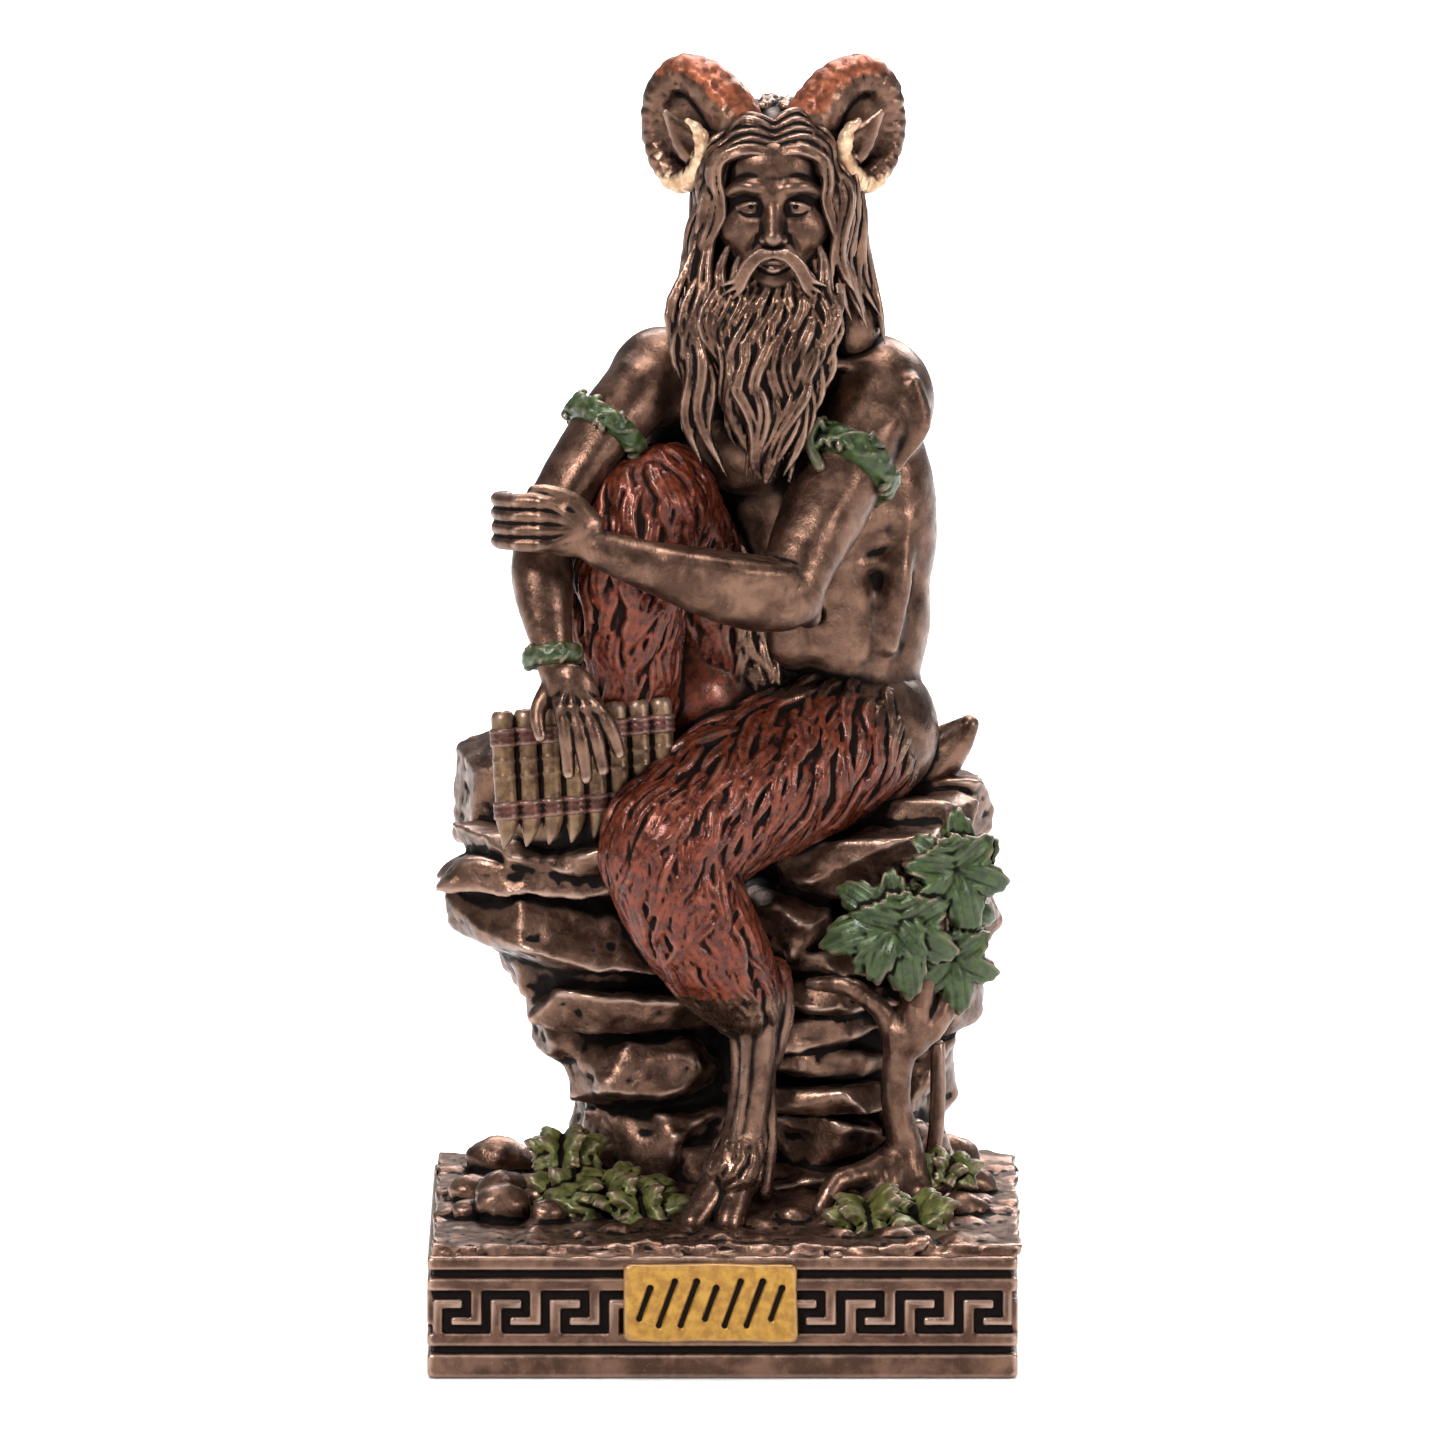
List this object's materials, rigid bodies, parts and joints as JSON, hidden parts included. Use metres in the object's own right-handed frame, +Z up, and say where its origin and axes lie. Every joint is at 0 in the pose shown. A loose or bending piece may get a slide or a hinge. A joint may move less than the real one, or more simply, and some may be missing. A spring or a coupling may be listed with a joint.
{
  "type": "pan figurine",
  "caption": "Seated goat-legged figure with ram's horns and a long beard, holding reed pipes, on a ledged rock with a small tree, above a rectangular plinth with a running fret.",
  "frame": {"origin": "middle of the plinth's underside", "axes": "+Z up, the figure and the nameplate face -Y, +X is to the viewer's right in the picture"},
  "size_m": [0.04, 0.0364, 0.0884],
  "materials": {
    "antique_bronze": "cold-cast bronze resin: satin metallic brown, rubbed bright on the high places, black wash in the recesses",
    "fur_glaze": "thin red-brown glaze over the bronze, black between the tufts",
    "leaf_green": "hand-painted green over the bronze, worn on the veins and edges",
    "horn_paint": "bronze horns painted orange-brown on top and cream towards the tips",
    "reed_paint": "ochre-bronze reeds with dark red bindings",
    "plate_gold": "ochre gold paint, black in the incised strokes"
  },
  "bodies": {
    "root": {"pan_figurine": "antique_bronze"}
  },
  "joints": []
}
